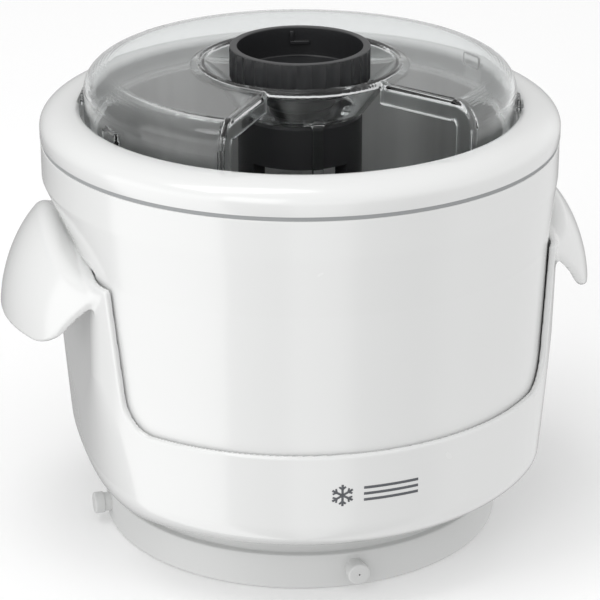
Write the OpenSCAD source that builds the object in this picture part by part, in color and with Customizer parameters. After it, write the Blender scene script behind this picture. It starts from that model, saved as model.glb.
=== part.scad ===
// Freezer-bowl ice cream maker attachment for a stand mixer.
// Millimetres, +Z up. The origin is the centre of the base's bottom edge, the front is -Y,
// and the two side grips point along +X and -X.

/* [Bowl and rim] */
// Outer radius of the rim ring
rim_r = 105.2; // [100:0.1:110]
// Radius of the mouth inside the rim ring
mouth_r = 88.6; // [87.6:0.1:89.6]
// Inner radius of the steel liner
liner_r = 82; // [80:0.5:83]
// Height of the liner's floor
liner_floor_z = 51.9; // [50:0.1:58]
// Height of the seam between the bowl and the rim ring
seam_z = 165; // [163:0.5:166]

/* [Housing and grips] */
// Outer radius of the housing at the height of the grips
housing_r = 106.3; // [105:0.1:108]
// Wall thickness of the housing
housing_wall = 2.65; // [2.2:0.05:2.8]
// Distance from the axis to the flat behind each grip
grip_flat = 95.1; // [94:0.1:96]
// Turn of each grip from the side towards the back
grip_turn = 4.9; // [0:0.1:6]
// Reach of the grip's lower edge from the axis
grip_reach = 124; // [120:0.5:128]
// Height of the arch over each grip
grip_crest_z = 141.5; // [138:0.5:143]

/* [Base] */
// Radius of the base ring
base_r = 83; // [81:0.5:84]
// Height of the base ring's lower skirt
skirt_h = 15; // [13:0.5:16]
// Radius of the bayonet pins
pin_r = 4; // [3.5:0.1:4.5]
// How far the bayonet pins stand out of the skirt
pin_length = 7; // [5:0.5:8]

/* [Lid] */
// Outer radius of the lid's side wall
lid_r = 87.2; // [86:0.1:87.4]
// Height of the lid's flat top
lid_top_z = 194.2; // [192:0.1:195]
// Thickness of the lid
lid_wall = 2.2; // [1.8:0.1:2.6]
// Half angle of the refill opening
refill_half = 36; // [30:1:40]

/* [Drive and stirrer] */
// Outer radius of the drive cup
cup_r = 28.4; // [27:0.1:30]
// Height of the drive cup's rim
cup_top_z = 201.5; // [200:0.5:204]
// Number of finger flutes around the drive cup
flutes = 30; // [24:1:36]
// Radius of the stirrer's hub
hub_r = 25.2; // [24.5:0.1:25.6]
// Turn of the stirrer at rest
stirrer_turn = -15.3; // [-45:0.1:45]

/* [Hidden] */
$fn = 120;
eps = 0.01;
far = 300;

// Gap between the bowl and the housing around it
fit_gap = 0.3;
arc_steps = 12;

// Housing: the wall leans in slightly, then rounds under to a flat floor
wall_low_z = 39;
wall_lean = 2.05;
housing_floor_z = 25.5;
housing_floor_t = 3;
floor_r = 90;
flat_low_z = 43;
flat_round = 60;
flat_turn = 1.2;

// Arms of the housing: the windows between them show the bowl
arm_top_z = 125.4;
window_low_z = 68.8;
window_round = 12;
window_turn = 36.9;
window_lean = 0.135;
window_mid_z = 100;

// Grips: a hood that arches over the arm and curls down to its lower edge
grip_low_z = 97;
grip_root_r = 98.8;
curl_z = grip_low_z - 0.7;
grip_power = 1.73;
grip_t = 3;
arch_r = 91;
shelf_top_z = arm_top_z - 0.5;
grip_half_top = 58;
grip_mid_x = 48;
grip_half_low = 45;
grip_corner = 8;
grip_top_z = 140;

// Bowl shell: outside the same as the housing's inside, less the gap
shell_wall = 2.5;
band_z = 150;
band_low_z = 126;
band_r = 105;
band_low_r = 103.2;
shell_floor_z = housing_floor_z + housing_floor_t;
bowl_flat = grip_flat - housing_wall - fit_gap;

// Scoop in the bowl shell above each grip
scoop_slope = 0.36;
scoop_half = 36;
scoop_low_z = 120;
scoop_top_z = 150.5;
scoop_cols = 16;
scoop_rows = 6;

// Cooling layers
liner_t = 0.7;
jacket_r = 93;
jacket_t = 1.2;
jacket_floor_z = 38;
jacket_flat = 85.2;
gel_top_z = 160;
plug_r = 6;
seal_top_z = 168.4;

// Base
neck_r = 80;
ring_t = 3;
flange_r = 66;
screw_ring_r = 73;
housing_screw_ring_r = 52;

// Rim ring
ledge_z = 170.6;
rim_side_z = 170.8;
rim_crest_r = 92.3;
rim_crest_z = 178.6;
rim_t = 2.6;
notch_angles = [-108, -72, 72, 108];

// Lid
lid_round_r = 10.6;
lid_round_h = 9.8;
funnel_r = 39.6;
funnel_top_z = 195.4;
funnel_low_r = 25.4;
funnel_low_z = 174.9;
lid_bottom_z = ledge_z;

// Drive cup and stirrer
cup_wall = 3.1;
cup_floor_z = 189.2;
neck_z = 177.4;
cup_neck_r = 14.5;
hub_top_z = 174.5;
hub_ring_z = 157;
hub_low_z = 98;
leg_in_r = 19.5;
leg_half = 42;
hex_r = 9;
hex_gap = 0.35;
paddle_low_z = 54.3;
paddle_r = 78.5;
pivot_r = 5;

// ---- shared shapes ----

// Points of a quarter oval from (cx + a, cz) to (cx, cz + b)
function quarter(cx, cz, a, b, n = arc_steps, p = 2) =
    [for (i = [0:n]) let (t = 90 * i / n) [cx + a * pow(cos(t), 2 / p), cz + b * pow(sin(t), 2 / p)]];

function reversed(list) = [for (i = [len(list) - 1:-1:0]) list[i]];

module both_sides() {
    children();
    mirror([1, 0, 0]) children();
}

// Turns its children to an angle around the bowl, measured from the front towards +X
module at(angle) {
    rotate([0, 0, angle - 90]) children();
}

// Solid of revolution inside an outer wall that is moved in by `inset`
module tub(inset, top_z, floor_inset) {
    top_r = housing_r - inset;
    low_r = housing_r - wall_lean - inset;
    rotate_extrude()
        polygon(concat([[0, top_z], [0, housing_floor_z + floor_inset]],
                       reversed([for (p = quarter(floor_r, 0, low_r - floor_r,
                                                  wall_low_z - housing_floor_z - floor_inset))
                                 [p[0], wall_low_z - p[1]]]),
                       [[top_r, arm_top_z]], top_z > arm_top_z ? [[top_r, top_z]] : []));
}

// Everything beyond the flat behind a grip, rounding in below
module beyond_flat(distance, low_z = -far) {
    rotate([90, 0, 0])
        linear_extrude(2 * far, center = true)
            difference() {
                translate([distance - 40, low_z]) square([far, far + abs(low_z)]);
                translate([distance - 50, flat_low_z]) square([50, far]);
                translate([distance - flat_round, flat_low_z]) circle(flat_round);
            }
}

module beyond_flats(distance) {
    both_sides() rotate([0, 0, flat_turn]) beyond_flat(distance);
}

// ---- housing ----

// Window in the housing, cut inwards along its leaning side edge, with a round lower corner
module window() {
    lean = atan(window_lean);
    side_t = (window_mid_z - window_low_z - window_round) * window_lean + window_round / cos(lean);
    corner_z = window_low_z + window_round;
    top_z = arm_top_z + 5;
    rotate([90, 0, 90])
        translate([0, 0, 45])
            linear_extrude(80)
                mirror([1, 0])
                    polygon(concat([[100, window_low_z], [100, top_z],
                                    [(window_mid_z - top_z) * window_lean, top_z]],
                                   [for (i = [0:arc_steps]) let (t = 180 + lean + (90 - lean) * i / arc_steps)
                                       [side_t + window_round * cos(t), corner_z + window_round * sin(t)]]));
}

module windows() {
    both_sides()
        rotate([0, 0, grip_turn])
            for (m = [0, 1])
                mirror([0, m, 0]) rotate([0, 0, -window_turn]) window();
}

// Turned space under a grip's curled surface, `inset` inside it and a little wider where it is inset
module grip_turning(inset) {
    a = grip_reach - grip_root_r - inset;
    b = grip_top_z - curl_z - inset;
    half = 64 + inset;
    root_r = 32 - inset;
    out_r = grip_root_r - grip_mid_x;
    translate([grip_mid_x, 0, 0])
        rotate([0, 0, -half])
            rotate_extrude(angle = 2 * half)
                polygon(concat([[root_r, grip_low_z - 20 - inset], [out_r + a, grip_low_z - 20 - inset]],
                               quarter(out_r, curl_z, a, b, 14, grip_power),
                               [[root_r, curl_z + b]]));
}

// Top edge of a grip seen from the side: an arch between two level shelves
function grip_arch(inset) =
    let (r = arch_r - inset, mid_z = grip_crest_z - arch_r, shelf_z = shelf_top_z - inset,
         half = acos((shelf_z - mid_z) / r))
    [for (i = [-arc_steps:arc_steps]) let (t = half * i / arc_steps) [-r * sin(t), mid_z + r * cos(t)]];

// Outline of a grip seen from the side: it leans out to its root, with round lower corners
function grip_outline() =
    let (lean = atan((grip_half_top - grip_half_low) / (shelf_top_z - grip_low_z)),
         mid = [grip_half_low - grip_corner * (1 - sin(lean)) / cos(lean), grip_low_z + grip_corner],
         corner = [for (i = [0:arc_steps]) let (t = -90 + (90 - lean) * i / arc_steps)
                      [mid[0] + grip_corner * cos(t), mid[1] + grip_corner * sin(t)]])
    concat([for (p = reversed(corner)) [-p[0], p[1]]], corner);

module grip_side(inset) {
    shelf_z = shelf_top_z - inset;
    top = concat([[grip_half_top + inset, shelf_z]], grip_arch(inset), [[-grip_half_top - inset, shelf_z]]);
    low = inset > 0 ? [[-grip_half_top - inset, 60], [grip_half_top + inset, 60]] : [];
    rotate([90, 0, 90]) linear_extrude(150)
        polygon(concat(inset > 0 ? low : [for (p = reversed(grip_outline())) [-p[0], p[1]]], top));
}

module under_grip(inset) {
    intersection() {
        grip_turning(inset);
        grip_side(inset);
    }
}

module grip() {
    rotate([0, 0, grip_turn])
        difference() {
            under_grip(0);
            under_grip(grip_t);
        }
}

// Upper part of the arm wall, which closes the grip's arch from behind
module arm_head() {
    intersection() {
        rotate([0, 0, flat_turn]) translate([grip_flat - 12, -42, arm_top_z - 1]) cube([12, 84, 20]);
        rotate([0, 0, grip_turn]) under_grip(1);
    }
}

module housing() color("white") {
    difference() {
        union() {
            difference() {
                tub(0, arm_top_z, 0);
                beyond_flats(grip_flat);
                windows();
            }
            both_sides() {
                grip();
                arm_head();
            }
        }
        difference() {
            tub(housing_wall, 200, housing_floor_t);
            beyond_flats(grip_flat - housing_wall);
        }
        screw_holes();
    }
}

// ---- base ----

module screw(ring_r, angle, head_z, head_h, tip_z, head_r, shank_r) {
    at(angle) translate([ring_r, 0, 0]) {
        translate([0, 0, head_z]) cylinder(r = head_r, h = head_h);
        translate([0, 0, head_z + head_h - eps]) cylinder(r = shank_r, h = tip_z - head_z - head_h + eps);
    }
}

module screw_holes(r = 2) {
    for (a = [45:90:315]) at(a) translate([screw_ring_r, 0, 10]) cylinder(r = r, h = 17.9);
    for (a = [0:90:270]) at(a) translate([housing_screw_ring_r, 0, 20]) cylinder(r = r, h = 16);
}

module base_ring() color("whitesmoke") {
    difference() {
        union() {
            rotate_extrude()
                polygon([[base_r - 0.8, 0], [base_r, 1.2], [base_r, skirt_h - 0.8], [base_r - 0.8, skirt_h],
                         [neck_r, skirt_h], [neck_r, housing_floor_z], [flange_r, housing_floor_z],
                         [flange_r, housing_floor_z - ring_t], [neck_r - ring_t, housing_floor_z - ring_t],
                         [neck_r - ring_t, skirt_h], [base_r - ring_t, skirt_h - 3], [base_r - ring_t, 0]]);
            for (a = [0:90:270]) at(a) bayonet_pin();
        }
        screw_holes();
    }
}

// Short round pin with a slightly larger head, standing out of the skirt
module bayonet_pin() {
    pin_z = 8.3;
    head_r = pin_r + 0.5;
    head_length = 4;
    tip = base_r + pin_length;
    translate([0, 0, pin_z]) rotate([0, 90, 0])
        rotate_extrude()
            polygon([[0, base_r - 2], [pin_r, base_r - 2], [pin_r, tip - head_length - 0.3],
                     [head_r, tip - head_length], [head_r, tip - 0.5], [head_r - 0.5, tip], [0, tip]]);
}

module bottom_cover() color("gainsboro") {
    cover_r = flange_r - 0.2;
    rotate_extrude()
        polygon([[0, 19.5], [cover_r - 1, 19.5], [cover_r, 20.5], [cover_r, housing_floor_z],
                 [cover_r - 2.4, housing_floor_z], [cover_r - 2.4, 21.8], [0, 21.8]]);
}

module base_screws() color("silver") {
    for (a = [45:90:315]) screw(screw_ring_r, a, 20.3, 2.2, 27.9, 3.8, 2);
}

module housing_screws() color("silver") {
    for (a = [0:90:270]) screw(housing_screw_ring_r, a, 23.3, 2.2, 36, 3.8, 2);
}

// ---- freezer bowl ----

// Cutter for the scoop: a grid that leaves the wall at its edges and is deepest low in the middle
module scoop() {
    function wall(z) = band_low_r + (band_r - band_low_r) * (z - band_low_z) / (band_z - band_low_z);
    function depth(u, z) = scoop_slope * (scoop_top_z - z) * pow(1 - u * u, 1.5);
    function level(j) = scoop_low_z + (scoop_top_z - scoop_low_z) * j / scoop_rows;
    function side(i) = -1 + 2 * i / scoop_cols;
    function point(r, u, z) = [r * cos(scoop_half * u), r * sin(scoop_half * u), z];
    cols = scoop_cols + 1;
    count = cols * (scoop_rows + 1);
    inner = [for (j = [0:scoop_rows]) for (i = [0:scoop_cols])
                 point(wall(level(j)) + 0.05 - depth(side(i), level(j)), side(i), level(j))];
    outer = [for (j = [0:scoop_rows]) for (i = [0:scoop_cols]) point(112, side(i), level(j))];
    cells = [for (j = [0:scoop_rows - 1]) for (i = [0:scoop_cols - 1]) j * cols + i];
    polyhedron(
        points = concat(inner, outer),
        faces = concat(
            [for (k = cells) for (f = [[k, k + 1, k + cols + 1], [k, k + cols + 1, k + cols]]) f],
            [for (k = cells) for (f = [[k, k + cols + 1, k + 1], [k, k + cols, k + cols + 1]])
                [for (v = f) v + count]],
            [for (i = [0:scoop_cols - 1])
                for (f = [[i, i + count, i + 1], [i + 1, i + count, i + count + 1]]) f],
            [for (i = [0:scoop_cols - 1]) let (t = scoop_rows * cols + i)
                for (f = [[t, t + 1, t + count], [t + 1, t + count + 1, t + count]]) f],
            [for (j = [0:scoop_rows - 1]) let (a = j * cols)
                for (f = [[a, a + cols, a + count], [a + cols, a + cols + count, a + count]]) f],
            [for (j = [0:scoop_rows - 1]) let (a = j * cols + scoop_cols)
                for (f = [[a, a + count, a + cols], [a + cols, a + count, a + cols + count]]) f]));
}

module shell_outside() {
    low_r = housing_r - wall_lean - housing_wall - fit_gap;
    rotate_extrude()
        polygon(concat([[0, seam_z], [0, shell_floor_z]],
                       reversed([for (p = quarter(floor_r, 0, low_r - floor_r, wall_low_z - shell_floor_z))
                                 [p[0], wall_low_z - p[1]]]),
                       [[band_low_r, band_low_z], [band_r, band_z], [band_r, seam_z]]));
}

module shell_inside() {
    low_r = housing_r - wall_lean - housing_wall - fit_gap - shell_wall;
    floor_z = shell_floor_z + shell_wall;
    rotate_extrude()
        polygon(concat([[0, 170], [0, floor_z]],
                       reversed([for (p = quarter(floor_r, 0, low_r - floor_r, wall_low_z - floor_z))
                                 [p[0], wall_low_z - p[1]]]),
                       [[98.5, 118], [98.5, seam_z - 2.5], [96, seam_z - 2.5], [96, 170]]));
}

// Room behind a grip that the bowl's wall leaves free
module grip_pocket(extra) {
    intersection() {
        rotate([0, 0, flat_turn]) beyond_flat(bowl_flat - extra);
        rotate([0, 0, grip_turn])
            union() {
                translate([0, 0, grip_crest_z - arch_r])
                    rotate([0, 90, 0]) cylinder(r = arch_r + fit_gap + extra, h = 150);
                translate([60, -80, 0]) cube([90, 160, arm_top_z + fit_gap + extra]);
            }
    }
}

module bowl_shell() color("white") {
    boss_top_z = 37;
    difference() {
        union() {
            difference() {
                shell_outside();
                difference() {
                    shell_inside();
                    both_sides() grip_pocket(shell_wall);
                }
            }
            for (a = [0:90:270])
                at(a)
                    translate([housing_screw_ring_r, 0, shell_floor_z])
                        cylinder(r = 4.5, h = boss_top_z - shell_floor_z);
        }
        both_sides() {
            grip_pocket(0);
            rotate([0, 0, grip_turn]) scoop();
        }
        screw_holes();
    }
}

module jacket_form(inset) {
    corner = 8 - inset;
    difference() {
        rotate_extrude()
            union() {
                translate([0, jacket_floor_z + inset]) square([jacket_r - 8, 170 - jacket_floor_z - inset]);
                translate([0, jacket_floor_z + 8]) square([jacket_r - inset, 162 - jacket_floor_z]);
                translate([jacket_r - 8, jacket_floor_z + 8]) circle(corner);
            }
        both_sides() rotate([0, 0, grip_turn]) translate([jacket_flat - inset, -100, 0]) cube([50, 200, 200]);
    }
}

module below(z) {
    intersection() {
        children();
        translate([-150, -150, -1]) cube([300, 300, z + 1]);
    }
}

module insulation() color("lemonchiffon") {
    difference() {
        below(seam_z - 2.5) difference() {
            shell_inside();
            both_sides() grip_pocket(shell_wall);
        }
        jacket_form(0);
        plug_place(plug_r);
        for (a = [0:90:270])
            at(a) translate([housing_screw_ring_r, 0, 30]) cylinder(r = 4.5, h = 7);
    }
}

module plug_place(r) {
    translate([30, 0, jacket_floor_z - 3]) cylinder(r = r, h = 3 + jacket_t);
}

module coolant_jacket() color("lightgray") {
    difference() {
        union() {
            below(seam_z) jacket_form(0);
            translate([0, 0, seam_z]) cylinder(r = 99, h = jacket_t);
        }
        below(seam_z + 5) jacket_form(jacket_t);
        plug_place(plug_r);
    }
}

module fill_plug() color("dimgray") {
    plug_place(plug_r);
}

// The liner with its rounded bottom corner, `grow` outside its inner face
module liner_form(grow, top_z) {
    corner = 9;
    low_z = liner_floor_z - grow;
    rotate_extrude()
        union() {
            translate([0, low_z]) square([liner_r - corner, top_z - low_z]);
            translate([0, liner_floor_z + corner]) square([liner_r + grow, top_z - liner_floor_z - corner]);
            translate([liner_r - corner, liner_floor_z + corner]) circle(corner + grow);
        }
}

module coolant_gel() color("skyblue") {
    difference() {
        below(gel_top_z) jacket_form(jacket_t);
        liner_form(liner_t, 170);
    }
}

module bowl_liner() color("silver") {
    flange_z = seal_top_z;
    difference() {
        union() {
            liner_form(liner_t, flange_z + liner_t);
            translate([0, 0, flange_z]) cylinder(r = 99, h = liner_t);
        }
        liner_form(0, 180);
        translate([0, 0, 40]) cylinder(r = 3, h = 20);
    }
}

module pivot_pin() color("silver") {
    rotate_extrude()
        polygon([[0, liner_floor_z - liner_t], [3, liner_floor_z - liner_t], [3, liner_floor_z],
                 [12, liner_floor_z], [12, liner_floor_z + 1.2], [11, liner_floor_z + 2],
                 [pivot_r, liner_floor_z + 2], [pivot_r, 62], [pivot_r - 1.5, 64], [0, 64]]);
}

module liner_seal() color("dimgray") {
    in_r = liner_r + liner_t;
    jacket_in_r = jacket_r - jacket_t;
    difference() {
        rotate_extrude()
            polygon([[in_r, gel_top_z + 2], [jacket_in_r, gel_top_z + 2], [jacket_in_r, seam_z + jacket_t],
                     [99, seam_z + jacket_t], [99, seal_top_z], [in_r, seal_top_z]]);
        both_sides()
            rotate([0, 0, grip_turn])
                translate([jacket_flat - jacket_t, -100, 100]) cube([50, 200, seam_z + jacket_t - 100]);
    }
}

module rim_gasket() color("gray") {
    rotate_extrude()
        polygon([[101, seam_z], [104.5, seam_z], [104.5, seam_z + 1.6], [101, seam_z + 1.6]]);
}

// ---- rim ring ----

module rim_ring() color("white") {
    outside = quarter(rim_crest_r, rim_side_z, rim_r - rim_crest_r, rim_crest_z - rim_side_z);
    inside = quarter(rim_crest_r, rim_side_z, rim_r - rim_t - rim_crest_r, rim_crest_z - rim_t - rim_side_z);
    low_z = seam_z + 1.6;
    difference() {
        rotate_extrude()
            polygon(concat([[rim_r, low_z]], outside,
                           [[mouth_r + 1, rim_crest_z - 0.4], [mouth_r, rim_crest_z - 1.2],
                            [mouth_r, ledge_z], [liner_r + 1.4, ledge_z],
                            [liner_r + 1.4, seal_top_z + liner_t],
                            [mouth_r + rim_t, seal_top_z + liner_t], [mouth_r + rim_t, rim_crest_z - rim_t]],
                           reversed(inside), [[rim_r - rim_t, low_z]]));
        for (a = notch_angles) at(a) lug_place(0.4);
    }
}

// Locating lug on the lid's wall, or with `gap` the notch that it drops into
module lug_place(gap) {
    translate([80, -5.5 - gap, 176 - gap]) cube([9.2 + gap, 11 + 2 * gap, 5.5 + 20 * gap]);
}

// ---- lid ----

module lid_profile() {
    out = quarter(lid_r - lid_round_r, lid_top_z - lid_round_h, lid_round_r, lid_round_h);
    in = quarter(lid_r - lid_round_r, lid_top_z - lid_round_h,
                 lid_round_r - lid_wall, lid_round_h - lid_wall);
    polygon(concat([[lid_r, lid_bottom_z]], out,
                   [[funnel_r + 4, lid_top_z - 0.4], [funnel_r + 1.6, funnel_top_z],
                    [funnel_r - 0.2, funnel_top_z], [funnel_low_r - 0.4, funnel_low_z + 1.4],
                    [21.8, funnel_low_z + 1.4], [21.8, funnel_low_z],
                    [funnel_low_r, funnel_low_z], [funnel_low_r + 1.5, funnel_low_z + 0.6],
                    [funnel_r + 1.4, lid_top_z - 0.4 - lid_wall]],
                   reversed(in), [[lid_r - lid_wall, lid_bottom_z]]));
}

// Sector over the front of the lid, from the funnel's rim outwards
module refill_sector(half) {
    at(-half)
        rotate_extrude(angle = 2 * half)
            translate([funnel_r + 2.5, lid_bottom_z - 5]) square([60, 60]);
}

// Half section of the stiffening walls beside the refill opening
module flange_profile() {
    depth = 9;
    difference() {
        lid_section(0);
        lid_section(depth);
        square([funnel_r + 2, 300]);
        translate([0, -far]) square([far, far + lid_bottom_z]);
    }
}

// Half section of the lid's outer form, moved in by `inset`
module lid_section(inset) {
    polygon(concat([[0, 100], [lid_r - inset, 100]],
                   quarter(lid_r - lid_round_r, lid_top_z - lid_round_h,
                           max(lid_round_r - inset, 1), max(lid_round_h - inset, 1)),
                   [[0, lid_top_z - inset]]));
}

module lid() color("lightcyan", 0.4) {
    tab_in_r = 17.8;
    rib_low_z = 148;
    difference() {
        union() {
            rotate_extrude() lid_profile();
            intersection() {
                rotate_extrude() flange_profile();
                refill_sector(refill_half);
            }
            for (a = notch_angles) at(a) intersection() {
                lug_place(0);
                translate([lid_r - 1, -20, 170]) cube([20, 40, 20]);
            }
        }
        refill_sector(refill_half - 2.5);
    }
    for (a = [0:60:300])
        at(a) translate([tab_in_r, -4, funnel_low_z + 0.2]) cube([5, 8, 1.8]);
    at(0) translate([hub_r + 0.6, -2.3, rib_low_z]) cube([1.8, 4.6, funnel_low_z - rib_low_z + 2]);
}

// ---- stirrer ----

module stirrer_hub() color("#202224") {
    disc_t = 3;
    foot_h = 8;
    rotate([0, 0, stirrer_turn])
        difference() {
            rotate_extrude()
                polygon([[0, hub_low_z], [hub_r, hub_low_z], [hub_r, hub_top_z - 1], [hub_r - 1, hub_top_z],
                         [0, hub_top_z], [0, 160], [13.5, 160], [13.5, hub_top_z - disc_t],
                         [hub_r - 3, hub_top_z - disc_t], [hub_r - 3, hub_ring_z + 1.5],
                         [leg_in_r, hub_ring_z + 1.5], [leg_in_r, hub_low_z + foot_h - 1],
                         [0, hub_low_z + foot_h - 1]]);
            for (s = [0, 180])
                rotate([0, 0, s + leg_half])
                    rotate_extrude(angle = 180 - 2 * leg_half)
                        translate([leg_in_r - 3, hub_low_z + foot_h])
                            square([20, hub_ring_z - hub_low_z - foot_h]);
            translate([0, 0, 150]) cylinder(r = hex_r + hex_gap, h = 40, $fn = 6);
        }
}

module paddle() color("#2a2c2e") {
    bar_r = 50;
    bar_t = 4;
    rotate([0, 0, stirrer_turn]) {
        difference() {
            union() {
                translate([0, 0, 70]) cylinder(r = 9, h = hub_low_z - 70);
                for (s = [0, 180]) rotate([0, 0, s]) wing(bar_r, bar_t);
            }
            translate([0, 0, 50]) cylinder(r = 9, h = 20);
        }
    }
}

// One wing: a plate that curves from the centre to just inside the liner, pierced by two slots
module wing(bar_r, bar_t) {
    centre = [40, -30];
    difference() {
        intersection() {
            translate([centre[0], centre[1], paddle_low_z])
                difference() {
                    cylinder(r = bar_r + bar_t / 2, h = hub_low_z - paddle_low_z);
                    translate([0, 0, -1]) cylinder(r = bar_r - bar_t / 2, h = 60);
                }
            translate([0, -3, 0]) cube([90, 40, 120]);
            cylinder(r = paddle_r, h = 120);
        }
        for (x = [[20, 38], [44, 62]])
            translate([x[0], -10, 66]) cube([x[1] - x[0], 50, 22]);
    }
}

module scraper_lips() color("lightgray") {
    rotate([0, 0, stirrer_turn])
        for (s = [0, 180])
            rotate([0, 0, s])
                intersection() {
                    difference() {
                        cylinder(r = liner_r - 0.5, h = 96);
                        cylinder(r = paddle_r, h = 200, center = true);
                    }
                    translate([70, -1.5, liner_floor_z + 10]) cube([20, 5, 34]);
                }
}

module pivot_bush() color("white") {
    difference() {
        translate([0, 0, paddle_low_z]) cylinder(r = 9, h = 70 - paddle_low_z);
        translate([0, 0, 50]) cylinder(r = pivot_r + 0.3, h = 15);
    }
}

// ---- drive ----

module drive_cup() color("#26282a") {
    rim_in_r = cup_r - cup_wall;
    floor_t = 3.2;
    difference() {
        rotate_extrude()
            polygon([[0, neck_z], [cup_neck_r - 1.5, neck_z], [cup_neck_r, neck_z + 1.5], [cup_neck_r, 184],
                     [cup_r - 4, cup_floor_z - floor_t], [cup_r, cup_floor_z + 0.5], [cup_r, cup_top_z - 0.6],
                     [cup_r - 0.6, cup_top_z], [rim_in_r, cup_top_z],
                     [rim_in_r, cup_floor_z], [0, cup_floor_z]]);
        translate([0, 0, 160]) cylinder(r = 10, h = 184 - 160);
        for (i = [0:flutes - 1])
            rotate([0, 0, 360 * i / flutes])
                translate([cup_r + 3.6, 0, cup_floor_z - 1]) cylinder(r = 4.2, h = 30, $fn = 48);
    }
    for (a = [165, 45, -75])
        at(a) {
            translate([rim_in_r - 1.4, -4, 194.4]) cube([2, 8, 1.6]);
            translate([rim_in_r - 1.4, 2.4, 194.4]) cube([2, 1.6, 5.6]);
        }
}

module coupling_hex() color("#3a3c3e") {
    shoulder_z = hub_top_z + 0.4;
    rotate([0, 0, stirrer_turn]) {
        translate([0, 0, neck_z - eps]) cylinder(r = 10, h = 184 - neck_z + eps);
        translate([0, 0, shoulder_z]) cylinder(r = 12.5, h = neck_z - shoulder_z);
        translate([0, 0, 160.6]) cylinder(r = hex_r, h = shoulder_z - 160.6 + eps, $fn = 6);
    }
}

housing();
base_ring();
bottom_cover();
base_screws();
housing_screws();
bowl_shell();
insulation();
coolant_jacket();
coolant_gel();
fill_plug();
bowl_liner();
pivot_pin();
liner_seal();
rim_gasket();
rim_ring();
lid();
stirrer_hub();
paddle();
scraper_lips();
pivot_bush();
drive_cup();
coupling_hex();
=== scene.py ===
"""Looks of the freezer-bowl ice cream maker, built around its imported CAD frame.

Shapes are worked out in millimetres and made in metres. The bowl's axis is Z, the front is -Y.
Smooth mouldings are solid distance fields, which `moulding` turns into closed meshes.
"""
import math

import bpy
import numpy as np
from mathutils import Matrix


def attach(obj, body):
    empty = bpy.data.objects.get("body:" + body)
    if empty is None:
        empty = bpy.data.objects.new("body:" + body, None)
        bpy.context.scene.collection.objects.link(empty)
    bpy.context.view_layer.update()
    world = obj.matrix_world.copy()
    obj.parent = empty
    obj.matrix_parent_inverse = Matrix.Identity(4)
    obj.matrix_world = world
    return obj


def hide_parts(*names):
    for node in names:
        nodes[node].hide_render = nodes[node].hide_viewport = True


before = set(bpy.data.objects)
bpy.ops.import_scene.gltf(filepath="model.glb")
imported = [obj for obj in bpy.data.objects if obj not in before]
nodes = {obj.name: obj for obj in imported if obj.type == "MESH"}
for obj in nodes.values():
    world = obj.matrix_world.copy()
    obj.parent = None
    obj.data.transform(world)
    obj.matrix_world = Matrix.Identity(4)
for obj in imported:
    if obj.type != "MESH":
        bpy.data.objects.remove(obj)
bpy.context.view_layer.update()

MM = 0.001


def add_object(name, data):
    obj = bpy.data.objects.new(name, data)
    bpy.context.scene.collection.objects.link(obj)
    return obj


# ---------------------------------------------------------------- camera

EYE_AZIMUTH = 15.3
EYE_PITCH = 22.35
EYE_DISTANCE = 960.0
EYE_HEIGHT = 485.6
LENS = 149.2

turn = math.radians(EYE_AZIMUTH)
camera = add_object("camera", bpy.data.cameras.new("camera"))
camera.data.lens = LENS
camera.data.sensor_width = 36.0
eye_x, eye_y = -EYE_DISTANCE * math.sin(turn), -EYE_DISTANCE * math.cos(turn)
camera.location = (eye_x * MM, eye_y * MM, EYE_HEIGHT * MM)
camera.rotation_euler = (math.radians(90.0 - EYE_PITCH), 0.0, -turn)
bpy.context.scene.camera = camera
bpy.context.scene.view_settings.view_transform = "Standard"


# ---------------------------------------------------------------- distance fields

def smax(a, b, k):
    """Larger of two distances, with a fillet about k wide where they cross."""
    h = np.maximum(k - np.abs(a - b), 0.0) / k
    return np.maximum(a, b) + 0.25 * k * h * h


def smin(a, b, k):
    """Smaller of two distances, with a fillet about k wide where they cross."""
    return -smax(-a, -b, k)


def round_corner(a, b, radius):
    """Distance to a rounded corner; a and b are how far a point lies past the corner's centre each way."""
    return np.hypot(np.maximum(a, 0), np.maximum(b, 0)) + np.minimum(np.maximum(a, b), 0) - radius


def turned(x, y, degrees):
    """Coordinates in a frame that is turned about Z by `degrees`."""
    c, s = math.cos(math.radians(degrees)), math.sin(math.radians(degrees))
    return x * c + y * s, -x * s + y * c


def box_field(x, y, z, low, high, round_r=0.0):
    """Distance to a box with rounded edges, given by two opposite corners."""
    q = []
    for value, a, b in ((x, low[0], high[0]), (y, low[1], high[1]), (z, low[2], high[2])):
        q.append(np.abs(value - 0.5 * (a + b)) - 0.5 * (b - a) + round_r)
    outside = np.sqrt(sum(np.maximum(v, 0.0) ** 2 for v in q))
    return outside + np.minimum(np.maximum(np.maximum(q[0], q[1]), q[2]), 0.0) - round_r


def stroke_field(u, v, line, thickness):
    """Distance to a band of even thickness along a line of points in a plane."""
    best = np.full(u.shape, 1e6)
    for (au, av), (bu, bv) in zip(line[:-1], line[1:]):
        du, dv = bu - au, bv - av
        t = np.clip(((u - au) * du + (v - av) * dv) / (du * du + dv * dv), 0.0, 1.0)
        best = np.minimum(best, (u - au - t * du) ** 2 + (v - av - t * dv) ** 2)
    return np.sqrt(best) - 0.5 * thickness


def quarter(cu, cv, a, b, count=12, power=2.0):
    """Points of a quarter oval from (cu + a, cv) to (cu, cv + b)."""
    angles = [0.5 * math.pi * i / count for i in range(count + 1)]
    bend = 2 / power
    return [(cu + a * abs(math.cos(t)) ** bend, cv + b * abs(math.sin(t)) ** bend) for t in angles]


# ---------------------------------------------------------------- meshes

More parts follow.
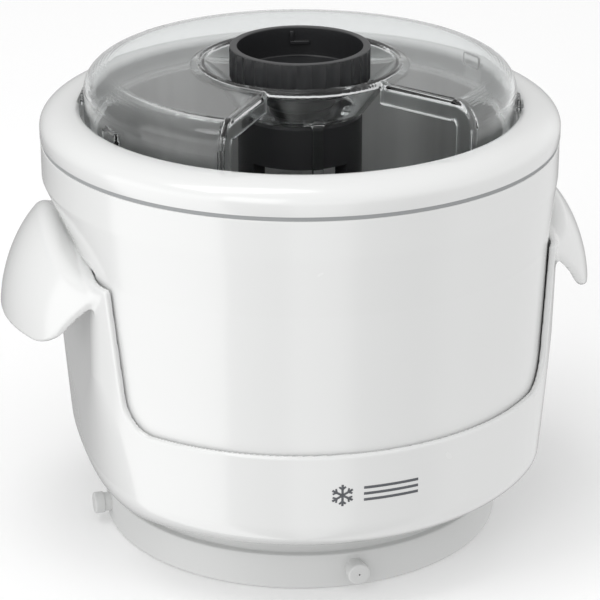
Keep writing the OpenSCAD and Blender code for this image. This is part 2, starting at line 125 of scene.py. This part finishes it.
def make_mesh(name, points, faces, normals=None, sharp_angle=None):
    mesh = bpy.data.meshes.new(name)
    mesh.from_pydata([tuple(p) for p in np.asarray(points) * MM], [], faces)
    mesh.validate()
    mesh.shade_smooth()
    if normals is not None:
        mesh.normals_split_custom_set_from_vertices([tuple(n) for n in normals])
    elif sharp_angle is not None:
        mesh.set_sharp_from_angle(angle=math.radians(sharp_angle))
    return add_object(name, mesh)


def slopes(field, points, reach):
    """Slope of a field at each point, from its values `reach` ahead and behind."""
    columns = []
    for axis in range(3):
        ahead, behind = points.copy(), points.copy()
        ahead[:, axis] += reach
        behind[:, axis] -= reach
        columns.append((field(*ahead.T) - field(*behind.T)) / (2 * reach))
    return np.stack(columns, 1)


def moulding(name, field, low, high, step):
    """Closed mesh of the space where `field` is negative: a point per mixed cell, moved to the surface."""
    axes = [np.arange(a, b + step, step) for a, b in zip(low, high)]
    values = np.empty([len(a) for a in axes], np.float32)
    for i in range(0, len(axes[0]), 12):
        x, y, z = np.meshgrid(axes[0][i:i + 12], axes[1], axes[2], indexing="ij")
        values[i:i + 12] = field(x, y, z)
    inside = values < 0
    cells = [n - 1 for n in inside.shape]

    def corner(grid, o):
        return grid[o[0]:o[0] + cells[0], o[1]:o[1] + cells[1], o[2]:o[2] + cells[2]]

    corners = [(a, b, c) for a in (0, 1) for b in (0, 1) for c in (0, 1)]
    filled = sum(corner(inside, o).astype(np.int8) for o in corners)
    where = np.nonzero((filled > 0) & (filled < 8))
    total = np.zeros((len(where[0]), 3))
    crossings = np.zeros(len(where[0]))
    for axis in range(3):
        for o in corners:
            if o[axis]:
                continue
            end = [o[n] + (n == axis) for n in range(3)]
            va = values[where[0] + o[0], where[1] + o[1], where[2] + o[2]]
            vb = values[where[0] + end[0], where[1] + end[1], where[2] + end[2]]
            hit = (va < 0) != (vb < 0)
            t = va[hit] / (va[hit] - vb[hit])
            for n in range(3):
                total[hit, n] += o[n] + (t if n == axis else 0.0)
            crossings[hit] += 1
    points = np.asarray(low) + step * (np.stack(where, 1) + total / crossings[:, None])
    for _ in range(4):
        g = slopes(field, points, 0.04)
        size = np.maximum((g * g).sum(1), 0.05)
        shift = (field(*points.T) / size)[:, None] * g
        length = np.linalg.norm(shift, axis=1)
        points -= shift * np.minimum(1.0, 0.6 * step / np.maximum(length, 1e-9))[:, None]
    normals = slopes(field, points, 0.25)
    normals /= np.maximum(np.linalg.norm(normals, axis=1), 1e-9)[:, None]

    index = np.full(cells, -1, np.int64)
    index[where] = np.arange(len(points))
    faces = []
    for axis in range(3):
        first = [slice(None)] * 3
        second = [slice(None)] * 3
        first[axis], second[axis] = slice(0, -1), slice(1, None)
        a, b = inside[tuple(first)], inside[tuple(second)]
        at = np.nonzero(a != b)
        u, v = (axis + 1) % 3, (axis + 2) % 3
        keep = (at[u] > 0) & (at[v] > 0) & (at[u] < cells[u]) & (at[v] < cells[v])
        at = [n[keep] for n in at]
        leaving = a[tuple(at)]
        quad = []
        for du, dv in ((1, 1), (0, 1), (0, 0), (1, 0)):
            cell = [n.copy() for n in at]
            cell[u] -= du
            cell[v] -= dv
            quad.append(index[tuple(cell)])
        quad = np.stack(quad, 1)
        faces.append(np.where(leaving[:, None], quad, quad[:, ::-1]))
    return make_mesh(name, points, np.concatenate(faces).tolist(), normals=normals)


def rounded(profile, round_r, steps=4):
    """Closed outline with its corners rounded; a corner with a third value uses that radius."""
    out = []
    count = len(profile)
    for i, here in enumerate(profile):
        p = np.array(here[:2])
        r = here[2] if len(here) > 2 else round_r
        a, b = np.array(profile[i - 1][:2]), np.array(profile[(i + 1) % count][:2])
        da, db = a - p, b - p
        la, lb = np.linalg.norm(da), np.linalg.norm(db)
        cosine = float(np.clip(np.dot(da, db) / (la * lb), -1, 1))
        half = 0.5 * math.acos(cosine)
        cut = min(r / max(math.tan(half), 1e-6), 0.45 * la, 0.45 * lb)
        if cut < 1e-3 or half > 1.55:
            out.append(tuple(p))
            continue
        start, end = p + da / la * cut, p + db / lb * cut
        for k in range(steps + 1):
            t = k / steps
            out.append(tuple((1 - t) ** 2 * start + 2 * t * (1 - t) * p + t * t * end))
    return out


def lathe(name, profile, segments=180, radius_of=None, sharp_angle=35):
    """Closed outline turned about Z. radius_of(radius, angle, height) may reshape it."""
    angles = np.linspace(0, 2 * math.pi, segments, endpoint=False)
    points, faces = [], []
    count = len(profile)
    for t in angles:
        for r, z in profile:
            r = radius_of(r, t, z) if radius_of else r
            points.append((r * math.cos(t), r * math.sin(t), z))
    for i in range(segments):
        for j in range(count):
            a, b = i * count, ((i + 1) % segments) * count
            k = (j + 1) % count
            faces.append((a + j, b + j, b + k, a + k))
    return make_mesh(name, points, faces, sharp_angle=sharp_angle)


# ---------------------------------------------------------------- materials

def material(name, colour, roughness, bump=0.0, bump_scale=900.0, tint=0.015, metallic=0.0, coat=0.0,
             coat_roughness=0.1, rough_change=0.04):
    """Moulded plastic, rubber or metal: slight changes of colour and gloss, and a fine surface texture."""
    m = bpy.data.materials.new(name)
    m.use_nodes = True
    tree = m.node_tree
    shader = tree.nodes["Principled BSDF"]
    shader.inputs["Metallic"].default_value = metallic
    shader.inputs["Coat Weight"].default_value = coat
    shader.inputs["Coat Roughness"].default_value = coat_roughness
    place = tree.nodes.new("ShaderNodeTexCoord")
    cloud = tree.nodes.new("ShaderNodeTexNoise")
    cloud.inputs["Scale"].default_value = 14.0
    cloud.inputs["Detail"].default_value = 3.0
    tree.links.new(place.outputs["Object"], cloud.inputs["Vector"])
    ramp = tree.nodes.new("ShaderNodeMix")
    ramp.data_type = "RGBA"
    ramp.inputs[6].default_value = (*[max(c * (1 - tint), 0) for c in colour], 1)
    ramp.inputs[7].default_value = (*[min(c * (1 + tint), 1) for c in colour], 1)
    tree.links.new(cloud.outputs["Fac"], ramp.inputs[0])
    tree.links.new(ramp.outputs[2], shader.inputs["Base Color"])
    gloss = tree.nodes.new("ShaderNodeMapRange")
    gloss.inputs["To Min"].default_value = roughness - rough_change
    gloss.inputs["To Max"].default_value = roughness + rough_change
    tree.links.new(cloud.outputs["Fac"], gloss.inputs["Value"])
    tree.links.new(gloss.outputs["Result"], shader.inputs["Roughness"])
    if bump:
        grain = tree.nodes.new("ShaderNodeTexNoise")
        grain.inputs["Scale"].default_value = bump_scale
        grain.inputs["Detail"].default_value = 2.0
        tree.links.new(place.outputs["Object"], grain.inputs["Vector"])
        relief = tree.nodes.new("ShaderNodeBump")
        relief.inputs["Strength"].default_value = bump
        relief.inputs["Distance"].default_value = 0.0002
        tree.links.new(grain.outputs["Fac"], relief.inputs["Height"])
        tree.links.new(relief.outputs["Normal"], shader.inputs["Normal"])
    return m


def brushed(name, colour, roughness):
    """Steel with fine brushing lines that run around the axis, and upright bands of painted reflection in
    its colour.
    """
    m = material(name, colour, roughness, metallic=1.0, tint=0.4)
    tree = m.node_tree
    shader = tree.nodes["Principled BSDF"]
    shader.inputs["Anisotropic"].default_value = 0.8
    along = tree.nodes.new("ShaderNodeTangent")
    along.direction_type = "RADIAL"
    along.axis = "Z"
    shader.inputs["Anisotropic Rotation"].default_value = 0.25
    tree.links.new(along.outputs[0], shader.inputs["Tangent"])
    place = tree.nodes.new("ShaderNodeTexCoord")
    split = tree.nodes.new("ShaderNodeSeparateXYZ")
    tree.links.new(place.outputs["Object"], split.inputs[0])
    squared = []
    for axis in ("X", "Y"):
        power = tree.nodes.new("ShaderNodeMath")
        power.operation = "MULTIPLY"
        tree.links.new(split.outputs[axis], power.inputs[0])
        tree.links.new(split.outputs[axis], power.inputs[1])
        squared.append(power)
    added = tree.nodes.new("ShaderNodeMath")
    added.operation = "ADD"
    tree.links.new(squared[0].outputs[0], added.inputs[0])
    tree.links.new(squared[1].outputs[0], added.inputs[1])
    radius = tree.nodes.new("ShaderNodeMath")
    radius.operation = "SQRT"
    around = tree.nodes.new("ShaderNodeVectorMath")
    around.operation = "NORMALIZE"
    flat = tree.nodes.new("ShaderNodeCombineXYZ")
    for axis in ("X", "Y"):
        tree.links.new(split.outputs[axis], flat.inputs[axis])
    tree.links.new(flat.outputs[0], around.inputs[0])
    # painted reflection: the colour changes by up to 40% with the angle around the axis, drawing upright
    # light and dark streaks
    painted_reflection_bands = tree.nodes["Noise Texture"]
    painted_reflection_bands.inputs["Scale"].default_value = 3.2
    tree.links.new(around.outputs[0], painted_reflection_bands.inputs["Vector"])
    tree.links.new(added.outputs[0], radius.inputs[0])
    joined = tree.nodes.new("ShaderNodeCombineXYZ")
    tree.links.new(radius.outputs[0], joined.inputs["X"])
    tree.links.new(split.outputs["Z"], joined.inputs["Z"])
    lines = tree.nodes.new("ShaderNodeTexNoise")
    lines.inputs["Scale"].default_value = 1600.0
    lines.inputs["Detail"].default_value = 4.0
    tree.links.new(joined.outputs[0], lines.inputs["Vector"])
    relief = tree.nodes.new("ShaderNodeBump")
    relief.inputs["Strength"].default_value = 0.25
    relief.inputs["Distance"].default_value = 0.0001
    tree.links.new(lines.outputs["Fac"], relief.inputs["Height"])
    tree.links.new(relief.outputs["Normal"], shader.inputs["Normal"])
    return m


def clear(name):
    """Clear polished plastic with faint changes of gloss."""
    m = material(name, (0.97, 0.985, 0.985), 0.03, rough_change=0.02, tint=0.004)
    shader = m.node_tree.nodes["Principled BSDF"]
    shader.inputs["Transmission Weight"].default_value = 1.0
    shader.inputs["IOR"].default_value = 1.49
    return m


WHITE = material("white_plastic", (0.77, 0.775, 0.77), 0.26, bump=0.02, coat=1.0, coat_roughness=0.06)
BASE = material("base_plastic", (0.6, 0.605, 0.6), 0.42, bump=0.06)
GREY = material("grey_plastic", (0.6, 0.61, 0.62), 0.5, bump=0.1)
BLACK = material("black_plastic", (0.018, 0.0185, 0.02), 0.34, bump=0.25, bump_scale=1400.0, tint=0.1)
HUB = material("hub_plastic", (0.022, 0.0225, 0.024), 0.4, bump=0.25, bump_scale=1400.0, tint=0.1)
BUSH = material("bush_plastic", (0.7, 0.7, 0.68), 0.45, bump=0.1)
RUBBER = material("seal_rubber", (0.3, 0.31, 0.315), 0.6, bump=0.2, bump_scale=700.0)
SEAM = material("seam_rubber", (0.33, 0.34, 0.345), 0.6, bump=0.2, bump_scale=700.0)
LIPS = material("lip_rubber", (0.5, 0.51, 0.52), 0.55, bump=0.2, bump_scale=700.0)
STEEL = brushed("liner_steel", (0.68, 0.685, 0.68), 0.43)
SCREW = brushed("screw_steel", (0.5, 0.5, 0.5), 0.35)
FOAM = material("foam", (0.85, 0.8, 0.62), 0.9, bump=0.6, bump_scale=300.0)
GEL = material("gel", (0.4, 0.6, 0.75), 0.3, tint=0.05)
CLEAR = clear("clear_plastic")
INK = material("mark_ink", (0.1, 0.105, 0.115), 0.5, bump=0.1)


def paint(obj, mat):
    obj.data.materials.clear()
    obj.data.materials.append(mat)
    return obj


def piece(obj, mat, body, slot, *replaced):
    paint(obj, mat)
    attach(obj, body)
    if replaced:
        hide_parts(*replaced)
    return obj


CAD_LOOKS = {
    "bottom_cover": BASE, "base_screws": SCREW, "housing_screws": SCREW, "insulation": FOAM,
    "coolant_jacket": GREY, "coolant_gel": GEL, "fill_plug": RUBBER, "bowl_liner": STEEL,
    "pivot_pin": STEEL, "liner_seal": RUBBER, "rim_gasket": SEAM, "stirrer_hub": HUB, "paddle": HUB,
    "scraper_lips": LIPS, "pivot_bush": BUSH, "coupling_hex": BLACK,
}
for node_name, look in CAD_LOOKS.items():
    for spot in nodes[node_name].material_slots:
        spot.material = look


# ---------------------------------------------------------------- housing

HOUSING_R = 106.3
HOUSING_LOW = 25.5
HOUSING_BEND = 13.8
LEAN_HEIGHT = 86.4
LEAN = 2.05 / LEAN_HEIGHT
ARM_TOP = 125.4
WALL = 2.65
GRIP_TURN = 4.9
FLAT_TURN = 1.2
GRIP_FLAT = 95.1
FLAT_LOW = 43.0
FLAT_ROUND = 60.0
WINDOW_LOW = 68.8
WINDOW_TURN = 36.9
WINDOW_LEAN = 0.135
WINDOW_ROUND = 12.0

# The grip's curl is turned about an upright axis GRIP_MID from the bowl's own, and starts at GRIP_ROOT
GRIP_MID = 48.0
GRIP_ROOT = 98.8
CURL_Z = 96.3
CURL_OUT = 25.2
CURL_UP = 43.7
CURL_POWER = 1.73
ARCH_R = 91.0
ARCH_Z = 50.5
GRIP_WALL = 3.0
GRIP_LOW = 97.0
GRIP_HALF = 45.0
GRIP_CORNER = 8.0
# No part of a grip is nearer to the bowl's axis; OFF stands for far away from the surface
GRIP_INNER = 40.0
OFF = 50.0


def housing_body(x, y, z):
    """The housing's outer form: a leaning tub with a flat behind each grip."""
    r = np.hypot(x, y)
    radius = HOUSING_R - np.minimum(ARM_TOP - z, LEAN_HEIGHT) * LEAN
    tub = round_corner(r - (radius - HOUSING_BEND), (HOUSING_LOW + HOUSING_BEND) - z, HOUSING_BEND)
    # the edge beside the flat is soft at the foot and sharp at the top
    sharpness = np.clip((z - 40.0) / 45.0, 0.0, 1.0)
    k = 16.0 - 13.5 * sharpness
    for side in (1, -1):
        u, _ = turned(x * side, y, FLAT_TURN)
        low = np.maximum(FLAT_LOW - z, 0.0)
        flat = np.hypot(np.maximum(u - (GRIP_FLAT - FLAT_ROUND), 0.0), low) - FLAT_ROUND
        tub = smax(tub, flat, k)
    return tub


def window_field(x, y, z):
    """Negative inside the two windows that show the bowl."""
    out = None
    for m in (1, -1):
        both = None
        for side in (1, -1):
            u, v = turned(x * side, y, GRIP_TURN)
            u, v = turned(u, v * m, -WINDOW_TURN)
            reach = -v - (100.0 - z) * WINDOW_LEAN
            # 0.991 is the cosine of the lean, and turns the level reach into a distance
            across, down = WINDOW_ROUND - reach * 0.991, WINDOW_ROUND - (z - WINDOW_LOW)
            quadrant = round_corner(across, down, WINDOW_ROUND)
            both = quadrant if both is None else np.maximum(both, quadrant)
        out = both if out is None else np.minimum(out, both)
    return out


def grip_hood(u, v, z):
    """Space under a grip's curled surface, in the grip's own frame."""
    r = np.hypot(u - GRIP_MID, v)
    n = CURL_POWER
    p = np.maximum(r - (GRIP_ROOT - GRIP_MID), 1e-3) / CURL_OUT
    q = np.maximum(z - CURL_Z, 1e-3) / CURL_UP
    value = p ** n + q ** n
    slope = n * np.sqrt((p ** (n - 1) / CURL_OUT) ** 2 + (q ** (n - 1) / CURL_UP) ** 2)
    curl = (value - 1.0) / np.maximum(slope, 0.018)
    valley = 9.0 * np.clip(1.0 - (u - 95.0) / 20.0, 0.0, 1.0) ** 1.5
    arch = np.hypot(v, np.maximum(z + valley - ARCH_Z, 0.0)) - ARCH_R
    shelf = z - (ARM_TOP - 0.5)
    top = smin(arch, shelf, 9.0)
    return smax(curl, top, 4.0)


def grip_side(v, z):
    """Outline of a grip seen from the side: it leans out towards the arm, with round lower corners."""
    lean = math.atan2(13.0, 27.9)
    across = (np.abs(v) - GRIP_HALF) * math.cos(lean) - (z - GRIP_LOW) * math.sin(lean) + GRIP_CORNER
    return round_corner(across, GRIP_LOW + GRIP_CORNER - z, GRIP_CORNER)


def housing_field(x, y, z):
    """The tub's wall with its windows, and the two grips that curl out of its arms."""
    body = housing_body(x, y, z)
    inner = body + WALL
    window = window_field(x, y, z)
    hood_cover = None
    grips = None
    for side in (1, -1):
        u, v = turned(x * side, y, GRIP_TURN)
        hood = np.where(u > GRIP_INNER, grip_hood(u, v, z), OFF)
        shell = smax(hood, -(hood + GRIP_WALL), 0.6)
        shell = smax(shell, grip_side(v, z), 1.4)
        shell = np.where(u > GRIP_INNER, shell, OFF)
        grips = shell if grips is None else np.minimum(grips, shell)
        cover = hood + 1.0
        hood_cover = cover if hood_cover is None else np.minimum(hood_cover, cover)
    top = np.minimum(z - ARM_TOP, hood_cover)
    wall = smax(smax(body, -window, 1.3), top, 1.2)
    return smax(smin(wall, grips, 2.5), -inner, 0.9)


housing = moulding("housing_moulding", housing_field, (-127, -109, 22), (127, 109, 145), 1.0)
piece(housing, WHITE, "root", "white_plastic", "housing")


# ---------------------------------------------------------------- bowl shell

SCOOP_TOP = 150.5
SCOOP_HALF = 36.0
BOWL_FLAT = 92.15


def scoop_depth(angle, z):
    """How far the scoop above a grip cuts into the bowl, at an angle from the grip's middle."""
    if z >= SCOOP_TOP:
        return 0.0
    s = np.clip(angle / SCOOP_HALF, -1.0, 1.0)
    return np.maximum(0.36 * (SCOOP_TOP - z) * (1.0 - s * s) ** 1.5, 0.0)


def shell_radius(r, t, z):
    """Cuts the scoops and the flats behind the grips; what the housing hides stays well clear of it."""
    if r < 86.0 or z < 31.2:
        return r
    azimuth = abs(math.degrees(math.atan2(math.cos(t), -math.sin(t))))
    inset = 2.5 if r < 99.0 else 0.0
    hidden = z < 65.0 or (62.0 < azimuth < 128.0 and z < 116.0)
    clear = 6.0 if hidden else 0.0
    for side in (1, -1):
        seen = math.degrees(math.atan2(math.sin(t), math.cos(t) * side))
        if abs(seen - GRIP_TURN) < SCOOP_HALF:
            r -= float(scoop_depth(seen - GRIP_TURN, max(z, 120.0)))
        if abs(seen - FLAT_TURN) < 40.0 and z < 128.0:
            r = min(r, (BOWL_FLAT - inset) / math.cos(math.radians(seen - FLAT_TURN)))
    return r - clear


shell_outline = rounded([(103.2, 165.0, 0.5), (105.0, 165.0, 0.4), (105.0, 150.0, 30), (103.2, 126.0, 30),
                         (101.1, 39.0, 8), (90.0, 28.6, 6), (30.0, 28.6), (30.0, 31.0), (88.0, 31.0),
                         (98.6, 42.0, 4), (98.8, 150.0), (98.8, 162.6)], 0.6, 6)


def denser(outline, spacing):
    """Adds points along the long straight stretches of a closed outline."""
    out = []
    for (ar, az), (br, bz) in zip(outline, outline[1:] + outline[:1]):
        count = max(1, int(math.hypot(br - ar, bz - az) / spacing))
        out += [(ar + (br - ar) * i / count, az + (bz - az) * i / count) for i in range(count)]
    return out


bowl = lathe("bowl_moulding", denser(shell_outline, 1.6), 360, shell_radius, 50)
piece(bowl, WHITE, "root", "white_plastic", "bowl_shell")


# ---------------------------------------------------------------- rim ring

LEDGE = 170.6
NOTCHES = (-108.0, -72.0, 72.0, 108.0)
NOTCH_HALF = 3.8
ring_outline = (
    [(83.4, 170.4), (83.6, 170.6), (88.2, 170.6), (88.6, 171.0), (88.6, 176.2)]
    + quarter(91.9, 176.2, -3.3, 2.4, 8)[1:]
    + quarter(92.3, 170.8, 12.9, 7.8, 26)[::-1]
    + [(105.2, 167.1), (105.0, 166.7), (104.6, 166.6), (102.8, 166.6), (102.6, 166.8)]
    + quarter(92.3, 170.8, 10.3, 5.2, 12)
    + [(91.4, 175.8), (91.2, 175.4), (91.2, 169.1), (83.4, 169.1)])


def ring_radius(r, t, z):
    """Cuts the four small notches that the lid's lugs pass through."""
    azimuth = math.degrees(math.atan2(math.cos(t), -math.sin(t)))
    near = min(abs(azimuth - notch) for notch in NOTCHES)
    if z > 175.6 and r < 90.0 and near < NOTCH_HALF:
        return 90.0
    return r


ring = lathe("rim_moulding", ring_outline, 720, ring_radius, 40)
piece(ring, WHITE, "root", "white_plastic", "rim_ring")


# ---------------------------------------------------------------- lid

LID_R = 87.2
LID_TOP = 194.0
LID_WALL = 2.2
SHOULDER_R = 76.6
SHOULDER_Z = 184.4
FLANGE_DEPTH = 9.0
FLANGE_HALF = 1.2
dome_line = ([(86.1, LEDGE + 1.2), (86.1, SHOULDER_Z)]
             + quarter(SHOULDER_R, SHOULDER_Z, 9.5, 8.7, 12)[1:]
             + [(44.0, 192.9), (40.6, 194.3), (39.2, 194.0), (26.2, 176.6), (22.9, 176.1)])
REFILL_HALF = 36.0


def lid_field(x, y, z):
    """The lid's dome and funnel, the walls beside its refill opening, and its ribs and lugs."""
    r = np.hypot(x, y)
    dome = stroke_field(r, z, dome_line, LID_WALL)
    # the refill opening and the walls beside it
    a = math.radians(REFILL_HALF)
    edge = None
    for side in (1, -1):
        across = (x * side) * math.cos(a) + y * math.sin(a)
        edge = across if edge is None else np.maximum(edge, across)
    opening = np.maximum(edge, 43.0 - r)
    top = np.hypot(np.maximum(r - SHOULDER_R, 0), np.maximum(z - SHOULDER_Z, 0)) - 10.2
    form = np.where((r > SHOULDER_R) & (z > SHOULDER_Z), top, np.maximum(r - LID_R, z - LID_TOP))
    slab = smax(form, -(form + FLANGE_DEPTH), 1.4)
    slab = smax(slab, np.maximum(41.5 - r, LEDGE + 0.2 - z), 1.0)
    wall = np.abs(edge + FLANGE_HALF) - FLANGE_HALF
    flange = smax(slab, wall, 1.6)
    lid = smin(smax(dome, -opening, 0.8), flange, 1.2)
    for turn_angle in range(0, 360, 60):
        u, v = turned(x, y, turn_angle - 90.0)
        lid = np.minimum(lid, box_field(u, v, z, (17.8, -4.0, 175.1), (24.5, 4.0, 177.0), 0.5))
    u, v = turned(x, y, -90.0)
    lid = smin(lid, box_field(u, v, z, (25.7, -2.3, 148.2), (27.5, 2.3, 178.0), 0.6), 0.8)
    for turn_angle in NOTCHES:
        u, v = turned(x, y, turn_angle - 90.0)
        lid = smin(lid, box_field(u, v, z, (85.8, -5.3, 176.2), (88.9, 5.3, 181.3), 0.8), 0.8)
    return lid


lid = moulding("lid_moulding", lid_field, (-91, -91, 145), (91, 91, 198), 0.7)
piece(lid, CLEAR, "lid", "clear_plastic", "lid")


# ---------------------------------------------------------------- drive cup

CUP_R = 28.4
FLUTES = 30
FLUTE_DEPTH = 0.95


def cup_radius(r, t, z):
    """Cuts the scallops round the outside of the cup."""
    if r < 26.8 or z < 188.3 or z > 201.2:
        return r
    return r - FLUTE_DEPTH * abs(math.sin(0.5 * t * FLUTES))


cup_outline = rounded([(0.5, 177.4), (13.0, 177.4), (14.5, 179.0), (14.5, 184.0), (24.4, 186.0, 1.2),
                       (CUP_R, 188.4, 1.0), (CUP_R, 201.5, 0.7), (25.3, 201.5, 0.5), (25.3, 189.2, 0.8),
                       (0.5, 189.2)], 0.4, 5)
cup = lathe("cup_moulding", denser(cup_outline, 2.5), 720, cup_radius, 32)
piece(cup, BLACK, "drive", "black_plastic", "drive_cup")


def block(points, faces, low, high, angle):
    """Adds a box, turned about Z, to lists of points and faces."""
    start = len(points)
    a = math.radians(angle - 90.0)
    for x in (low[0], high[0]):
        for y in (low[1], high[1]):
            for z in (low[2], high[2]):
                points.append((x * math.cos(a) - y * math.sin(a), x * math.sin(a) + y * math.cos(a), z))
    for f in ((0, 1, 3, 2), (4, 6, 7, 5), (0, 4, 5, 1), (2, 3, 7, 6), (0, 2, 6, 4), (1, 5, 7, 3)):
        faces.append(tuple(start + k for k in f))


def bevelled(obj, width, segments=3):
    """Rounds an object's sharp edges; the width is in millimetres."""
    edge = obj.modifiers.new("edge", "BEVEL")
    edge.width = width * MM
    edge.segments = segments
    edge.limit_method = "ANGLE"
    edge.angle_limit = math.radians(40)
    return obj


points, faces = [], []
for angle in (165, 45, -75):
    block(points, faces, (23.9, -4.0, 194.4), (25.7, 4.0, 196.0), angle)
    block(points, faces, (23.9, 2.4, 196.0), (25.7, 4.0, 200.0), angle)
lugs = bevelled(make_mesh("cup_lugs", points, faces), 0.3)
piece(lugs, BLACK, "drive", "black_plastic")


# ---------------------------------------------------------------- base

SKIRT_R = 83.0
PIN_Z = 8.3
base_outline = rounded([(80.0, 0.0, 0.6), (SKIRT_R, 0.0, 1.0), (SKIRT_R, 15.0, 0.9), (80.0, 15.0, 0.5),
                        (80.0, 25.5, 0.3), (66.0, 25.5), (66.0, 22.5), (77.0, 22.5), (77.0, 15.0),
                        (80.0, 12.0)], 0.3, 4)
base = lathe("base_moulding", base_outline, 240)
piece(base, BASE, "root", "base_plastic", "base_ring")

pin_outline = rounded([(0.4, -3.0), (4.0, -3.0), (4.0, 2.6, 0.3), (4.5, 3.0, 0.3), (4.5, 7.0, 0.9),
                       (0.4, 7.0, 0.05)], 0.3, 4)
for index, angle in enumerate((-90, 0, 90, 180)):
    pin = lathe(f"bayonet_pin_{index}", pin_outline, 48)
    for vertex in pin.data.vertices:
        x, y, z = vertex.co
        out, up = z + SKIRT_R * MM, PIN_Z * MM + x
        c, s = math.cos(math.radians(angle)), math.sin(math.radians(angle))
        vertex.co = (out * c - y * s, out * s + y * c, up)
    pin.data.flip_normals()
    piece(pin, BASE, "root", "base_plastic")


# ---------------------------------------------------------------- printed mark

MARK_Z = 52.0
INK_GAP = 0.06


def on_housing(u, v):
    """Point on the housing's front for a place on the mark, u to the right and v up."""
    z = MARK_Z + v
    radius = HOUSING_R - (ARM_TOP - z) * LEAN + INK_GAP
    a = u / radius
    return (radius * math.sin(a), -radius * math.cos(a), z)


def bar(points, faces, au, av, bu, bv, width):
    """Adds a straight stroke of the mark, in short steps that follow the housing's curve."""
    length = math.hypot(bu - au, bv - av)
    nu, nv = -(bv - av) / length * width / 2, (bu - au) / length * width / 2
    steps = max(1, int(length / 1.5))
    start = len(points)
    for i in range(steps + 1):
        t = i / steps
        u, v = au + (bu - au) * t, av + (bv - av) * t
        points.append(on_housing(u + nu, v + nv))
        points.append(on_housing(u - nu, v - nv))
    for i in range(steps):
        k = start + 2 * i
        faces.append((k, k + 1, k + 3, k + 2))


points, faces = [], []
flake_u, arm = -11.5, 4.6
for k in range(6):
    a = math.radians(60 * k + 30)
    ca, sa = math.cos(a), math.sin(a)
    bar(points, faces, flake_u, 0, flake_u + arm * ca, arm * sa, 0.9)
    for lean in (-50, 50):
        b = a + math.radians(lean)
        bu, bv = flake_u + 2.6 * ca, 2.6 * sa
        bar(points, faces, bu, bv, bu + 1.7 * math.cos(b), bv + 1.7 * math.sin(b), 0.75)
for v in (2.6, 0.0, -2.6):
    bar(points, faces, -3.0, v, 19.5, v, 1.1)
mark = make_mesh("printed_mark", points, faces)
thick = mark.modifiers.new("ink", "SOLIDIFY")
thick.thickness = 0.08 * MM
thick.offset = 0.0
piece(mark, INK, "root", "white_plastic")


# ---------------------------------------------------------------- stage and light

floor_mesh = bpy.data.meshes.new("floor")
FLOOR_Z = -0.0004
floor_corners = [(x, y, FLOOR_Z) for x, y in ((-6, -3), (6, -3), (6, 9), (-6, 9))]
floor_mesh.from_pydata(floor_corners, [], [(0, 1, 2, 3)])
floor = add_object("floor", floor_mesh)
floor.data.materials.append(material("floor_white", (0.985, 0.985, 0.985), 0.9, tint=0.004))
floor.visible_diffuse = False
floor.visible_glossy = False

# Brightness of the sky low down, high up and behind
SKY_LOW = 0.55
SKY_HIGH = 0.95
SKY_BACK = 0.8
# Upright bright bands in the sky: first and last angle from the front, softness in degrees, added brightness
SKY_BANDS = ((-106, -49, 3, 1.05), (-20, 8, 5, 0.6), (50, 140, 12, 0.45))

world = bpy.data.worlds.new("studio")
bpy.context.scene.world = world
world.use_nodes = True
sky = world.node_tree.nodes["Background"]
sky.inputs["Color"].default_value = (1, 1, 1, 1)
sky_nodes, sky_links = world.node_tree.nodes, world.node_tree.links


def sky_ramp(value, start, end, low, high):
    """Soft change from `low` to `high` as a value goes from `start` to `end`."""
    ramp = sky_nodes.new("ShaderNodeMapRange")
    ramp.interpolation_type = "SMOOTHSTEP"
    for label, number in (("From Min", start), ("From Max", end), ("To Min", low), ("To Max", high)):
        ramp.inputs[label].default_value = number
    sky_links.new(value, ramp.inputs["Value"])
    return ramp.outputs["Result"]


def sky_math(operation, first, second):
    """Result of a calculation with two node outputs."""
    node = sky_nodes.new("ShaderNodeMath")
    node.operation = operation
    sky_links.new(first, node.inputs[0])
    sky_links.new(second, node.inputs[1])
    return node.outputs[0]


direction = sky_nodes.new("ShaderNodeTexCoord")
split = sky_nodes.new("ShaderNodeSeparateXYZ")
sky_links.new(direction.outputs["Generated"], split.inputs[0])
forward = sky_nodes.new("ShaderNodeMath")
forward.operation = "MULTIPLY"
forward.inputs[1].default_value = -1.0
sky_links.new(split.outputs["Y"], forward.inputs[0])
azimuth = sky_math("ARCTAN2", split.outputs["X"], forward.outputs[0])
light = sky_math("MULTIPLY", sky_ramp(split.outputs["Z"], -0.3, 0.8, SKY_LOW, SKY_HIGH),
                 sky_ramp(split.outputs["Y"], -0.9, 0.9, 1.0, SKY_BACK))
for start, end, soft, gain in SKY_BANDS:
    rise = sky_ramp(azimuth, math.radians(start - soft), math.radians(start + soft), 0.0, gain)
    fall = sky_ramp(azimuth, math.radians(end - soft), math.radians(end + soft), 1.0, 0.0)
    low = sky_ramp(split.outputs["Z"], 0.2, 0.6, 1.0, 0.0)
    light = sky_math("ADD", light, sky_math("MULTIPLY", sky_math("MULTIPLY", rise, fall), low))
sky_links.new(light, sky.inputs["Strength"])


# Height in metres that the lights aim at
AIM_Z = 0.11


def softbox(name, azimuth, height, distance, size, power):
    """Rectangular light that faces the bowl from an angle measured from the front."""
    lamp = bpy.data.lights.new(name, "AREA")
    lamp.shape = "RECTANGLE"
    lamp.size, lamp.size_y = size
    lamp.energy = power
    obj = add_object(name, lamp)
    a = math.radians(azimuth)
    x, y = distance * math.sin(a), -distance * math.cos(a)
    obj.location = (x, y, height)
    obj.rotation_euler = (math.atan2(math.hypot(x, y), height - AIM_Z), 0, math.atan2(y, x) + math.pi / 2)
    return obj


softbox("key", -35, 0.9, 1.6, (0.75, 1.0), 3.5)
softbox("top", -78, 1.9, 0.6, (0.6, 1.4), 7)
